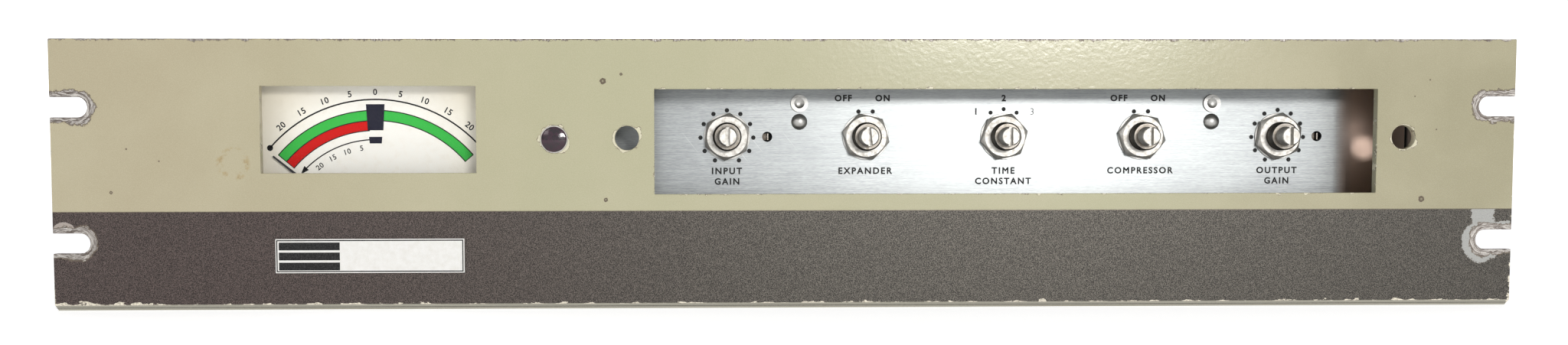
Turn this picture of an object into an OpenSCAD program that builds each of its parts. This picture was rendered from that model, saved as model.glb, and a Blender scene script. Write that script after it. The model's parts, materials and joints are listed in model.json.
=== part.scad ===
// Two-unit rack compressor for broadcast audio. The panel is the XZ plane: +X right, +Z up,
// and the face that an engineer sees looks along -Y. The origin is the centre of the four rack
// slots, on the rear face of the front panel, which is the plane that meets the rack rails.

/* [Front panel] */
// Panel width, the 19 inch rack standard
panel_w = 482.6; // [482:0.1:483.4]
// Panel height, two rack units
panel_h = 88.9; // [88:0.1:89.1]
// Panel thickness
panel_t = 3.175; // [2.5:0.025:3.4]
// Height of the bevel along the bottom edge
bevel_h = 2; // [0.5:0.1:3]
// Distance between the round slot ends, left to right
slot_pitch_x = 465.1; // [464.8:0.1:465.4]
// Distance between the slots, up and down
slot_pitch_z = 44.45; // [44.45:12.7:57.15]
// Width of a rack slot
slot_w = 6.6; // [6.2:0.1:7.2]

/* [Windows and holes] */
// Middle of the meter window, left to right
meter_x = -138.6; // [-139.6:0.1:-138]
// Width of the meter window
meter_win_w = 70.2; // [66:0.1:73]
// Bottom of the meter window
meter_win_z0 = 0.6; // [0:0.1:3]
// Top of the meter window
meter_win_z1 = 29.1; // [27:0.1:30]
// Middle of the control window, left to right
window_x = 74.9; // [74:0.1:76]
// Width of the control window
control_win_w = 240.2; // [234:0.1:242]
// Bottom of the control window
control_win_z0 = -6.5; // [-8:0.1:-5]
// Top of the control window
control_win_z1 = 28; // [26:0.1:29]
// Diameter of the two cover plate holes
cover_hole_d = 8; // [6:0.1:8.6]
// Diameter of the pilot lamp hole
lamp_hole_d = 9.1; // [9:0.1:9.6]

/* [Controls] */
// Middle control, left to right
control_x = 74.4; // [74:0.1:75]
// Distance from one control to the next
control_pitch = 47.6; // [47:0.1:47.8]
// Height of the control axes
control_z = 12.4; // [12:0.1:13]
// Gap from the panel's rear face to the control plate
plate_gap = 17.8; // [15:0.1:20]
// Diameter of the control shafts
shaft_d = 6.35; // [5.5:0.05:6.4]
// Diameter of the threaded bushings
bushing_d = 9.525; // [9.3:0.005:9.6]
// Size of the control nuts across their flats
nut_af = 14.29; // [13.5:0.01:14.5]
// Reach of a shaft past its nut
shaft_reach = 10; // [6:0.1:12]

/* [Chassis] */
// Outside width of the chassis
chassis_w = 432; // [430:0.5:440]
// Outside height of the chassis with its cover
chassis_h = 80; // [79:0.1:82]
// Depth of the chassis behind the panel
chassis_d = 235; // [232:1:250]
// Thickness of the chassis sheet
sheet = 1.2; // [1:0.1:1.5]

/* [Hidden] */
$fn = 48;

putty = [0.74, 0.71, 0.60];
gunmetal = [0.33, 0.31, 0.29];
nickel = [0.74, 0.72, 0.68];
zinc = [0.66, 0.67, 0.68];
brass = [0.78, 0.62, 0.32];
phenolic = [0.13, 0.12, 0.11];
paper_tan = [0.58, 0.42, 0.24];
iron = [0.30, 0.30, 0.32];

// Small gap between pieces that pass each other, and the running fit of a shaft
gap = 0.3;
fit = 0.05;

// Panel
panel_front = -panel_t;
bottom_flat = 0.4;
slot_x = slot_pitch_x / 2;
slot_z = slot_pitch_z / 2;
cover_hole_out = 9;
cover_hole_z = 12;
lamp_x = -78.1;
lamp_z = 11.6;
badge = [61.6, 0.8, 11.2];
badge_at = [-138.4, -26.5];
stud_r = 1.5;
stud_len = 8;
stud_nut_r = 3.2;
lip_stud_z = -33.5;
lip_studs = [for (x = [-205, -64, 20, 110, 205]) [x, lip_stud_z]];
corner_stud = [207, 34];
corner_rivet_r = 1.5;
corner_rivet_y = 7;
ear_stud_out = 51;
ear_z = -9;
ear_studs = [for (s = [-1, 1]) [meter_x + s * ear_stud_out, ear_z]];

// Meter: a moving-coil movement, its pivot low behind the panel
case_w = 93.4;
case_z = [-36.5, 36];
case_d = 36;
case_wall = 2;
lens_y = 0.4;
lens_t = 2;
dial_y = 9;
dial_t = 0.8;
dial_z = [-13, 33];
pivot_z = -21.3;
needle_y = 7.2;
needle_t = 0.4;
needle_r = 43.5;
needle_rest = -51;
magnet_y = [13.5, 25.5];
magnet_r = [9.5, 12.8];
magnet_foot = [11.2, 1.3];
core_r = 5.2;
web_w = 3;
coil_r = [6, 8.4];
staff_r = 0.8;
bridge_t = 1.4;

// Controls
plate_t = 1.6;
plate_back = plate_gap + plate_t;
plate_top = 37;
plate_x = [-64, chassis_w / 2 - sheet - 0.6];
washer_t = 0.5;
washer_d = 15.9;
nut_t = 2.4;
thread_pitch = 0.794;
thread_depth = 0.45;
neck_past_nut = 4.5;
nut_front = plate_gap - washer_t - nut_t;
neck_front = nut_front - neck_past_nut;
shaft_tip = nut_front - shaft_reach;
flange_t = 1.2;
cup_front = plate_back + flange_t;
pot_r = 12.2;
switch_r = 14;
pot_deep = 11;
switch_deep = 15;
cup_wall = 1;
rotor_t = 2;
driver_slot = [1.4, 2];
tab_out = 13.8;
tab_hole_r = 1.75;
tab_t = 0.4;
tab_half_w = 1.1;
// Each control: how far its nut and its driver slot are turned, and whether it is a potentiometer
controls = [
    [36, 0, true], [13, -6, false], [47, 0, false], [10, 0, false], [38, 0, true]
];
rivet_x = [4, 146.5];
rivet_z = 17.5;
eyelet_z = 23.8;

// Chassis
half_w = chassis_w / 2;
inner_w = half_w - sheet;
base_z = -chassis_h / 2;
floor_z = base_z + sheet;
roof_z = chassis_h / 2 - sheet;
rear_y = chassis_d;
lip_h = 13;
lip_spans = [[-inner_w, -195], [-77, inner_w]];
cover_lip = 13;
cover_screw_y = [30, 118, 206];
cover_screw_z = roof_z - 7;
rear_screw_x = [-120, 120];
screw_r = 1.5;
screw_hole_r = 1.65;
screw_head = [3, 1.6];

// Board and what stands on it
board = [[20, 62], [190, 168]];
board_z = floor_z + 11;
board_t = 1.6;
board_top = board_z + board_t;
standoff_r = 3;
standoff_in = 6;
resistor_rows = [for (i = [0:6]) for (j = [0:3]) [34 + i * 12, 76 + j * 21]];
electrolytic_spots = [
    for (i = [0:4]) [120 + i * 14, 80], for (i = [0:2]) [124 + i * 18, 104]
];
film_spots = [for (i = [0:4]) [124 + i * 13, 128]];
transistor_spots = [for (i = [0:5]) for (j = [0:1]) [34 + i * 14, 86 + j * 42]];

// Transformers, capacitor and rear wall
power_at = [-150, 188];
power_size = [68, 40, 58];
power_leg = 18;
power_coil_z = power_size[2] - 2 * power_leg * 0.6;
input_at = [-30, 70];
input_size = [30, 30, 40];
output_at = [-22, 150];
output_size = [46, 30, 38];
cap_at = [-90, 150];
cap_r = 17.5;
cap_h = 62;
strip_x = [-20, 110];
strip_z = [-24, 0];
strip_poles = 8;
fuse_at = [-70, 12];
fuse_hole_r = 6.5;
gland_at = [-192, -18];
gland_hole_r = 7.5;
gland_bore_r = 3.9;

function spread(a, b, n, i) = a + (b - a) * (i + 0.5) / n;
function control_at(i) = control_x + control_pitch * (i - 2);
// Saw-tooth outline of a thread along +Y of its profile, from y0 to y1
function thread_outline(r, y0, y1) = [
    for (k = [0 : floor((y1 - y0) / thread_pitch) - 1]) for (half = [0, 1])
        [r - thread_depth * (1 - half), y0 + thread_pitch * (k + half / 2)]
];

module block(lo, hi) translate(lo) cube(hi - lo);

// A rod along Y from y0 to y1
module rod_y(r, y0, y1, x = 0, z = 0, sides = $fn)
    translate([x, y0, z]) rotate([-90, 0, 0]) cylinder(r = r, h = y1 - y0, $fn = sides);

// A ring along Y
module ring_y(r_out, r_in, y0, y1, x = 0, z = 0) difference() {
    rod_y(r_out, y0, y1, x, z);
    rod_y(r_in, y0 - 1, y1 + 1, x, z);
}

module rod_z(r, z0, z1, x, y, sides = $fn)
    translate([x, y, z0]) cylinder(r = r, h = z1 - z0, $fn = sides);

module rod_x(r, x0, x1, y, z)
    translate([x0, y, z]) rotate([0, 90, 0]) cylinder(r = r, h = x1 - x0);

// A slotted pan head with its shank, pointing along +Y from a seat at the origin
module screw(length, r = screw_r) {
    difference() {
        rotate([90, 0, 0]) cylinder(r1 = r * 2, r2 = r * 1.7, h = screw_head[1]);
        translate([-0.4, -screw_head[1] - 1, -r * 3]) cube([0.8, 1.7, r * 6]);
    }
    rod_y(r, 0, length);
}

// ---- Front panel ----

module panel_blank() rotate([90, 0, 90])
    translate([0, 0, -panel_w / 2]) linear_extrude(panel_w) polygon([
        [panel_front, panel_h / 2], [0, panel_h / 2], [0, -panel_h / 2],
        [-bottom_flat, -panel_h / 2], [panel_front, -panel_h / 2 + bevel_h]
    ]);

module front_panel() color(putty) difference() {
    panel_blank();
    for (sx = [-1, 1]) for (sz = [-1, 1]) {
        rod_y(slot_w / 2, -5, 1, sx * slot_x, sz * slot_z);
        translate([sx * (slot_x + 10), -2, sz * slot_z]) cube([20, 6, slot_w], center = true);
    }
    block([meter_x - meter_win_w / 2, -5, meter_win_z0], [meter_x + meter_win_w / 2, 1, meter_win_z1]);
    block([window_x - control_win_w / 2, -5, control_win_z0],
        [window_x + control_win_w / 2, 1, control_win_z1]);
    for (s = [-1, 1])
        rod_y(cover_hole_d / 2, -5, 1, window_x + s * (control_win_w / 2 + cover_hole_out), cover_hole_z);
    rod_y(lamp_hole_d / 2, -5, 1, lamp_x, lamp_z);
}

module panel_studs() color(zinc) {
    for (p = concat(lip_studs, ear_studs)) rod_y(stud_r, 0, stud_len, p[0], p[1]);
    for (s = [-1, 1]) rod_y(stud_r, 0, stud_len, s * corner_stud[0], corner_stud[1]);
}

module stud_nut(x, z, seat) difference() {
    rod_y(stud_nut_r, seat, seat + 2.4, x, z, 6);
    rod_y(stud_r + fit, seat - 1, seat + 4, x, z);
}

module panel_nuts() color(zinc) {
    for (p = lip_studs) stud_nut(p[0], p[1], sheet);
    for (p = ear_studs) stud_nut(p[0], p[1], case_wall);
    for (s = [-1, 1]) stud_nut(s * corner_stud[0], corner_stud[1], sheet);
}

module name_badge() color("white")
    translate([badge_at[0] - badge[0] / 2, panel_front - badge[1], badge_at[1] - badge[2] / 2])
        cube(badge);

// ---- Meter ----

module at_pivot(turn = 0) translate([meter_x, 0, pivot_z]) rotate([0, turn, 0]) children();

module meter_case() color(phenolic) difference() {
    union() {
        block([meter_x - case_w / 2, 0, case_z[0]], [meter_x + case_w / 2, case_d, case_z[1]]);
        block([meter_x - ear_stud_out - 4, 0, ear_z - 6],
            [meter_x + ear_stud_out + 4, case_wall, ear_z + 6]);
    }
    block([meter_x - case_w / 2 + case_wall, -1, case_z[0] + case_wall],
        [meter_x + case_w / 2 - case_wall, case_d - case_wall, case_z[1] - case_wall]);
    for (p = ear_studs) rod_y(stud_r + 0.15, -1, case_wall + 1, p[0], p[1]);
}

module meter_lens() color([0.9, 0.95, 0.95, 0.25])
    block([meter_x - case_w / 2 + case_wall, lens_y, case_z[0] + case_wall],
        [meter_x + case_w / 2 - case_wall, lens_y + lens_t, case_z[1] - case_wall]);

module dial_posts(r, y0, y1) for (s = [-1, 1]) rod_y(r, y0, y1, meter_x + s * 38, -8);

module meter_dial() color("ivory") difference() {
    block([meter_x - 43, dial_y, dial_z[0]], [meter_x + 43, dial_y + dial_t, dial_z[1]]);
    dial_posts(1.1, 0, 20);
}

// Screws whose shanks run back into posts on the case's rear wall
module dial_screws() color(brass) {
    dial_posts(2, dial_y - 0.9, dial_y);
    dial_posts(1, dial_y, dial_y + dial_t);
    dial_posts(2.5, dial_y + dial_t, case_d - case_wall);
}

module meter_magnet() color(iron) at_pivot() {
    ring_y(magnet_r[1], magnet_r[0], magnet_y[0], magnet_y[1]);
    // Feet that carry the ring on the case's rear wall
    for (s = [-1, 1])
        rod_y(magnet_foot[1], magnet_y[1], case_d - case_wall, 0, s * magnet_foot[0]);
}

// Iron core, held to the ring by webs that the coil never reaches
module meter_core() color(zinc) at_pivot() {
    difference() {
        union() {
            rod_y(core_r, magnet_y[0] + 1.5, magnet_y[1] - 1.5);
            translate([0, sum2(magnet_y) / 2, 0])
                cube([web_w, 6, 2 * sqrt(magnet_r[0] * magnet_r[0] - web_w * web_w / 4)], center = true);
        }
        rod_y(staff_r + 0.6, 0, case_d);
    }
}

function sum2(v) = v[0] + v[1];

module meter_bridges() color(brass) at_pivot() for (y = [magnet_y[0] - bridge_t, magnet_y[1]])
    difference() {
        block([-11, y, -2.5], [11, y + bridge_t, 2.5]);
        rod_y(staff_r + fit, 0, case_d);
    }

// Wound frame that turns round the core, with its staff
module meter_coil() color([0.62, 0.30, 0.14]) at_pivot(needle_rest) {
    y = [magnet_y[0] + 0.4, magnet_y[1] - 0.4];
    difference() {
        block([-coil_r[1], y[0], -1.4], [coil_r[1], y[1], 1.4]);
        block([-coil_r[0], y[0] + 0.8, -2], [coil_r[0], y[1] - 0.8, 2]);
    }
    rod_y(staff_r, needle_y, y[0] + 0.8);
    rod_y(staff_r, y[1] - 0.8, magnet_y[1] + bridge_t + 1);
}

// Pointer blade with its hub and its balance tail
module meter_needle() color(phenolic) at_pivot(needle_rest) difference() {
    union() {
        translate([0, needle_y + needle_t, 0]) rotate([90, 0, 0]) linear_extrude(needle_t)
            polygon([[-0.9, 0], [-0.25, needle_r], [0.25, needle_r], [0.9, 0], [0.9, -10], [-0.9, -10]]);
        rod_y(2, needle_y - 0.4, needle_y + needle_t + 0.6);
        rod_y(1.8, needle_y - 0.4, needle_y + needle_t + 0.4, 0, -10);
    }
    rod_y(staff_r, needle_y, needle_y + 5);
}

// ---- Pilot lamp ----

jewel_r = lamp_hole_d / 2 - 0.4;
jewel_dome = 0.6;
jewel_sphere = (jewel_r * jewel_r + jewel_dome * jewel_dome) / (2 * jewel_dome);

module pilot_jewel() color([0.28, 0.02, 0.12]) intersection() {
    translate([lamp_x, panel_front - jewel_dome + jewel_sphere, lamp_z]) sphere(jewel_sphere, $fn = 96);
    rod_y(jewel_r, panel_front - 2, 0.5, lamp_x, lamp_z);
}

module pilot_holder() color(nickel) difference() {
    union() {
        rod_y(lamp_hole_d / 2 - fit, panel_front + 0.4, 18, lamp_x, lamp_z);
        rod_y(5.6, 0, 1.4, lamp_x, lamp_z);
        block([lamp_x - 3, 18, lamp_z - 0.4], [lamp_x + 3, 24, lamp_z + 0.4]);
    }
    rod_y(jewel_r, panel_front - 1, 0.5, lamp_x, lamp_z);
    rod_y(jewel_r - 0.6, 0, 16.5, lamp_x, lamp_z);
}

module pilot_bulb() color("gold") {
    rod_y(2.6, 4, 12, lamp_x, lamp_z);
    rod_y(3, 12, 16.5, lamp_x, lamp_z);
}

// ---- Control plate ----

module each_rivet() for (x = rivet_x) translate([x, 0, 0]) children();

module control_plate() color([0.80, 0.81, 0.82]) difference() {
    union() {
        block([plate_x[0], plate_gap, floor_z], [plate_x[1], plate_back, plate_top]);
        block([plate_x[0], plate_gap, floor_z], [plate_x[1], plate_gap + 14, floor_z + plate_t]);
        block([plate_x[0], plate_gap, plate_top - plate_t], [plate_x[1], plate_gap + 9, plate_top]);
    }
    for (i = [0:4]) rod_y(bushing_d / 2 + 0.1, 0, 30, control_at(i), control_z);
    for (i = [0:4]) if (controls[i][2]) rod_y(tab_hole_r, 0, 30, control_at(i) + tab_out, control_z);
    each_rivet() {
        rod_y(1.3, 0, 30, 0, rivet_z);
        rod_y(1.8, 0, 30, 0, eyelet_z);
    }
    for (x = [-40, 80, 196]) rod_z(screw_hole_r, floor_z - 1, floor_z + 3, x, plate_gap + 8);
}

// Round-headed rivets of the control plate, and the rivets of the two corner brackets
module plate_rivets() color(nickel) {
    each_rivet() {
        intersection() {
            translate([0, plate_gap + 1.9, rivet_z]) sphere(3.4);
            rod_y(2.75, plate_gap - 3, plate_gap, 0, rivet_z);
        }
        rod_y(1.3, plate_gap, plate_back + 1, 0, rivet_z);
        rod_y(2, plate_back + 1, plate_back + 1.7, 0, rivet_z);
    }
    for (s = [-1, 1]) translate([s * (half_w - sheet * 2), corner_rivet_y, corner_stud[1]])
        rotate([0, s * 90, 0]) {
            cylinder(r = corner_rivet_r, h = sheet * 2);
            translate([0, 0, -0.8]) cylinder(r = 2.6, h = 0.8);
        }
}

module plate_eyelets() color(nickel) each_rivet() difference() {
    union() {
        rod_y(2.95, plate_gap - 0.8, plate_gap, 0, eyelet_z);
        rod_y(1.8, plate_gap, plate_back + 1, 0, eyelet_z);
        rod_y(2.6, plate_back + 1, plate_back + 1.6, 0, eyelet_z);
    }
    translate([0, plate_gap - 3.6, eyelet_z]) sphere(3.3);
}

// Solder tag strips that the rivets and eyelets hold behind the plate
module tag_strips() color(paper_tan) each_rivet() difference() {
    block([-5, plate_back, 12], [5, plate_back + 1, 34]);
    rod_y(1.3, 0, 30, 0, rivet_z);
    rod_y(1.8, 0, 30, 0, eyelet_z);
}

module tag_lugs() color(brass) each_rivet() for (z = [28, 32])
    block([-3.5, plate_back + 1, z - 0.8], [3.5, plate_back + 7, z + 0.8]);

// ---- Controls ----

module control_frame(i) translate([control_at(i), 0, control_z]) children();
function cup_r(i) = controls[i][2] ? pot_r : switch_r;
function cup_deep(i) = controls[i][2] ? pot_deep : switch_deep;

// Threaded necks with the flanges that the cups close on, and the locating tabs of the potentiometers
module control_bushings() color(nickel) for (i = [0:4]) control_frame(i) {
    difference() {
        union() {
            rotate([-90, 0, 0]) rotate_extrude() polygon(concat(
                [[0, neck_front]], thread_outline(bushing_d / 2, neck_front, plate_gap),
                [[bushing_d / 2, plate_gap], [bushing_d / 2, plate_back], [0, plate_back]]));
            rod_y(cup_r(i), plate_back, cup_front);
            if (controls[i][2]) {
                block([0, plate_back, -tab_half_w], [tab_out + tab_t, cup_front, tab_half_w]);
                block([tab_out, plate_gap + 0.2, -tab_half_w], [tab_out + tab_t, cup_front, tab_half_w]);
            }
        }
        rod_y(shaft_d / 2 + fit, 0, 30);
    }
}

module control_washers() color(nickel) for (i = [0:4])
    control_frame(i) ring_y(washer_d / 2, bushing_d / 2 + fit, plate_gap - washer_t, plate_gap);

// Hexagon nuts with chamfered corners
module control_nuts() color(nickel) for (i = [0:4])
    control_frame(i) rotate([0, controls[i][0], 0]) difference() {
        intersection() {
            rod_y(nut_af / 2 / cos(30), nut_front, nut_front + nut_t, 0, 0, 6);
            rotate([-90, 0, 0]) rotate_extrude() polygon([
                [0, nut_front], [nut_af / 2 - 0.3, nut_front], [nut_af / 2 + 1.2, nut_front + 0.9],
                [nut_af / 2 + 1.2, nut_front + nut_t], [0, nut_front + nut_t]
            ]);
        }
        rod_y(bushing_d / 2 + fit, 0, 30);
    }

module cup(i) color(zinc) control_frame(i) difference() {
    rod_y(cup_r(i), cup_front, cup_front + cup_deep(i));
    rod_y(cup_r(i) - cup_wall, cup_front - 1, cup_front + cup_deep(i) - cup_wall);
}

// Solder lugs under the cups: three on a potentiometer, five on a switch
module control_lugs() color(brass) for (i = [0:4]) {
    count = controls[i][2] ? 3 : 5;
    control_frame(i) for (k = [0 : count - 1]) rotate([0, 180 + (k - (count - 1) / 2) * 24, 0])
        block([-1.2, cup_front + 3, cup_r(i)], [1.2, cup_front + 3.8, cup_r(i) + 6]);
}

// Shaft with a chamfered, slotted tip. Switch shafts carry their contact rotor.
module control_shaft(i) color(nickel) control_frame(i) rotate([0, controls[i][1], 0]) {
    r = shaft_d / 2;
    end = cup_front + cup_deep(i) - cup_wall - gap;
    difference() {
        rotate([-90, 0, 0]) rotate_extrude() polygon([
            [0, shaft_tip], [r - 0.4, shaft_tip], [r, shaft_tip + 0.4], [r, end], [0, end]
        ]);
        translate([0, shaft_tip, 0]) cube([driver_slot[0], 2 * driver_slot[1], 8], center = true);
    }
    if (!controls[i][2]) difference() {
        union() {
            rod_y(switch_r - cup_wall - 1.5, cup_front + 6, cup_front + 6 + rotor_t);
            block([-1.5, cup_front + 5, 0], [1.5, cup_front + 9, switch_r - cup_wall - 1]);
        }
        rod_y(r, 0, 60);
    }
}

// Wiper disc of a potentiometer with its contact finger
module control_wiper(i) color(brass) control_frame(i) rotate([0, controls[i][1], 0])
    difference() {
        union() {
            rod_y(7.5, cup_front + 4, cup_front + 4 + rotor_t);
            block([-1, cup_front + 4, 0], [1, cup_front + 4.8, pot_r - cup_wall - 0.8]);
        }
        rod_y(shaft_d / 2, 0, 60);
    }

module input_body() cup(0);
module input_shaft() control_shaft(0);
module input_wiper() control_wiper(0);
module two_way_bodies() for (i = [1, 3]) cup(i);
module expansion_shaft() control_shaft(1);
module attack_body() cup(2);
module attack_shaft() control_shaft(2);
module compression_shaft() control_shaft(3);
module output_body() cup(4);
module output_shaft() control_shaft(4);
module output_wiper() control_wiper(4);

// ---- Chassis ----

// Points on the tray's floor that a screw passes through
floor_screws = concat(
    [for (x = [-40, 80, 196]) [x, plate_gap + 8]],
    [for (sx = [-1, 1]) for (sy = [-1, 1])
        [power_at[0] + sx * (power_size[0] / 2 - 6), power_at[1] + sy * 15]],
    [for (sx = [-1, 1]) [output_at[0] + sx * (output_size[0] / 2 + 5), output_at[1]]],
    [for (sx = [-1, 1]) [input_at[0] + sx * 9, input_at[1]]],
    [for (sx = [-1, 1]) [cap_at[0] + sx * (cap_r + 7), cap_at[1]]],
    [for (x = [0, 1]) for (y = [0, 1]) [
        board[x][0] + (1 - 2 * x) * standoff_in, board[y][1] + (1 - 2 * y) * standoff_in
    ]]
);

// Floor of the chassis, with two lips that bolt to the panel
module chassis_tray() color(zinc) difference() {
    union() {
        block([-inner_w, 0, base_z], [inner_w, rear_y - sheet, floor_z]);
        for (s = lip_spans) block([s[0], 0, base_z], [s[1], sheet, base_z + lip_h]);
    }
    for (p = lip_studs) rod_y(stud_r + 0.15, -1, 5, p[0], p[1]);
    for (p = floor_screws) rod_z(screw_hole_r, base_z - 1, floor_z + 1, p[0], p[1]);
}

// Side walls, spot-welded to the floor and to the rear plate
module side_plates() color(zinc) for (s = [-1, 1]) difference() {
    translate([s * (half_w - sheet / 2), rear_y / 2, (base_z + roof_z) / 2])
        cube([sheet, rear_y, roof_z - base_z], center = true);
    for (y = cover_screw_y) rod_x(screw_hole_r, s * half_w - 3, s * half_w + 3, y, cover_screw_z);
    rod_x(corner_rivet_r + fit, s * half_w - 3, s * half_w + 3, corner_rivet_y, corner_stud[1]);
}

// Rear wall with the holes of the cover, fuse holder, gland and terminal strip
module rear_plate() color(zinc) difference() {
    block([-inner_w, rear_y - sheet, base_z], [inner_w, rear_y, roof_z]);
    for (x = rear_screw_x) rod_y(screw_hole_r, rear_y - 5, rear_y + 5, x, cover_screw_z);
    rod_y(fuse_hole_r + fit, rear_y - 5, rear_y + 5, fuse_at[0], fuse_at[1]);
    rod_y(gland_hole_r + fit, rear_y - 5, rear_y + 5, gland_at[0], gland_at[1]);
    for (x = strip_x) rod_y(screw_hole_r, rear_y - 5, rear_y + 5, x, sum2(strip_z) / 2);
    // Slot for the leads of the terminal strip
    block([strip_x[0] + 10, rear_y - 5, -9], [strip_x[1] - 10, rear_y + 5, -3]);
}

// Angles that tie the upper corners of the panel to the side walls
module corner_brackets() color(zinc) for (s = [-1, 1]) difference() {
    union() {
        translate([s * (half_w - sheet - 7), sheet / 2, corner_stud[1]])
            cube([14, sheet, 8], center = true);
        translate([s * (half_w - sheet * 1.5), 6, corner_stud[1]])
            cube([sheet, 12, 8], center = true);
    }
    rod_y(stud_r + 0.15, -1, 5, s * corner_stud[0], corner_stud[1]);
    rod_x(corner_rivet_r + fit, s * half_w - 6, s * half_w + 6, corner_rivet_y, corner_stud[1]);
}

module top_cover() color(zinc) difference() {
    union() {
        block([-half_w - sheet, 0.2, roof_z], [half_w + sheet, rear_y + sheet, roof_z + sheet]);
        for (s = [-1, 1])
            translate([s * (half_w + sheet / 2), (rear_y + sheet) / 2 + 0.1, roof_z - cover_lip / 2])
                cube([sheet, rear_y + sheet - 0.2, cover_lip], center = true);
        block([-half_w - sheet, rear_y, roof_z - cover_lip], [half_w + sheet, rear_y + sheet, roof_z]);
    }
    for (s = [-1, 1]) for (y = cover_screw_y)
        rod_x(screw_hole_r, s * half_w - 3, s * half_w + 3, y, cover_screw_z);
    for (x = rear_screw_x) rod_y(screw_hole_r, rear_y - 5, rear_y + 5, x, cover_screw_z);
    for (i = [0:11]) for (y = [80, 150])
        block([-165 + i * 30 - 1.6, y, roof_z - 1], [-165 + i * 30 + 1.6, y + 36, roof_z + sheet + 1]);
}

// Screws of the cover, the terminal strip and everything on the chassis floor
module case_screws() color(nickel) {
    for (s = [-1, 1]) for (y = cover_screw_y)
        translate([s * (half_w + sheet), y, cover_screw_z]) rotate([0, 0, s * 90]) screw(4);
    for (x = rear_screw_x) translate([x, rear_y + sheet, cover_screw_z]) rotate([0, 0, 180]) screw(4);
    for (x = strip_x) translate([x, rear_y + 4, sum2(strip_z) / 2]) rotate([0, 0, 180]) screw(7);
    for (p = floor_screws) translate([p[0], p[1], base_z]) rotate([90, 0, 0]) screw(sheet + 4.4);
}

// ---- Circuit board ----

module board_corners() for (x = [0, 1]) for (y = [0, 1]) translate([
    board[x][0] + (1 - 2 * x) * standoff_in, board[y][1] + (1 - 2 * y) * standoff_in, 0
]) children();

module circuit_board() color([0.45, 0.38, 0.16]) difference() {
    block([board[0][0], board[0][1], board_z], [board[1][0], board[1][1], board_top]);
    board_corners() rod_z(screw_hole_r, board_z - 1, board_top + 1, 0, 0);
}

module board_standoffs() color(nickel) board_corners() difference() {
    union() {
        rod_z(standoff_r, floor_z, board_z, 0, 0, 6);
        rod_z(screw_r, board_z, board_top, 0, 0);
        rod_z(2.8, board_top, board_top + 1.8, 0, 0);
    }
    rod_z(screw_r + fit, floor_z - 1, floor_z + 6, 0, 0);
    block([-4, -0.4, board_top + 1], [4, 0.4, board_top + 3]);
}

module resistors() color([0.55, 0.36, 0.2]) for (p = resistor_rows) {
    rod_x(1.3, p[0] - 3.2, p[0] + 3.2, p[1], board_top + 1.8);
    for (s = [-1, 1]) rod_z(0.4, board_top, board_top + 1.8, p[0] + s * 2.8, p[1]);
}

module electrolytics() color([0.16, 0.2, 0.35]) for (p = electrolytic_spots) difference() {
    rod_z(5, board_top, board_top + 20, p[0], p[1]);
    translate([p[0], p[1], board_top + 16]) difference() {
        cylinder(r = 6, h = 0.8);
        translate([0, 0, -1]) cylinder(r = 4.6, h = 3);
    }
}

module film_capacitors() color([0.75, 0.5, 0.12]) for (p = film_spots)
    block([p[0] - 2.5, p[1] - 7, board_top], [p[0] + 2.5, p[1] + 7, board_top + 11]);

module transistors() color(zinc) for (p = transistor_spots) {
    rod_z(4.6, board_top + 1, board_top + 1.6, p[0], p[1]);
    rod_z(4.1, board_top + 1.6, board_top + 7, p[0], p[1]);
    for (a = [90, 210, 330])
        rod_z(0.4, board_top, board_top + 1, p[0] + 2.5 * cos(a), p[1] + 2.5 * sin(a));
}

// ---- Transformers and filter capacitor ----

module power_window(extra) for (s = [-1, 1])
    translate([power_at[0] + s * (power_leg * 0.95), power_at[1], floor_z + power_size[2] / 2])
        cube([power_leg * 0.9 - extra, power_size[1] + 20, power_coil_z - extra], center = true);

module power_core() color(iron) difference() {
    translate([power_at[0], power_at[1], floor_z + power_size[2] / 2]) cube(power_size, center = true);
    power_window(0);
    for (sx = [-1, 1]) for (sy = [-1, 1])
        rod_z(screw_hole_r, floor_z - 1, floor_z + 7,
            power_at[0] + sx * (power_size[0] / 2 - 6), power_at[1] + sy * 15);
}

// Winding round the middle leg, filling both windows and standing out at front and back
module power_coil() color(paper_tan) difference() {
    translate([power_at[0], power_at[1], floor_z + power_size[2] / 2])
        cube([power_leg * 2.8 - 0.8, power_size[1] + 18, power_coil_z - 0.8], center = true);
    translate([power_at[0], power_at[1], floor_z + power_size[2] / 2])
        cube([power_leg, power_size[1], power_size[2]], center = true);
}

module input_transformer() color(zinc) difference() {
    block([input_at[0] - input_size[0] / 2, input_at[1] - input_size[1] / 2, floor_z],
        [input_at[0] + input_size[0] / 2, input_at[1] + input_size[1] / 2, floor_z + input_size[2]]);
    for (sx = [-1, 1]) rod_z(screw_hole_r, floor_z - 1, floor_z + 6, input_at[0] + sx * 9, input_at[1]);
}

module output_transformer() color(iron) difference() {
    union() {
        block([output_at[0] - output_size[0] / 2, output_at[1] - output_size[1] / 2, floor_z], [
            output_at[0] + output_size[0] / 2, output_at[1] + output_size[1] / 2,
            floor_z + output_size[2]
        ]);
        block([output_at[0] - output_size[0] / 2 - 10, output_at[1] - 8, floor_z],
            [output_at[0] + output_size[0] / 2 + 10, output_at[1] + 8, floor_z + 1.5]);
    }
    for (sx = [-1, 1])
        rod_z(screw_hole_r, floor_z - 1, floor_z + 6,
            output_at[0] + sx * (output_size[0] / 2 + 5), output_at[1]);
}

module filter_capacitor() color([0.2, 0.3, 0.55])
    rod_z(cap_r, floor_z + 0.5, floor_z + 0.5 + cap_h, cap_at[0], cap_at[1]);

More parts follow.
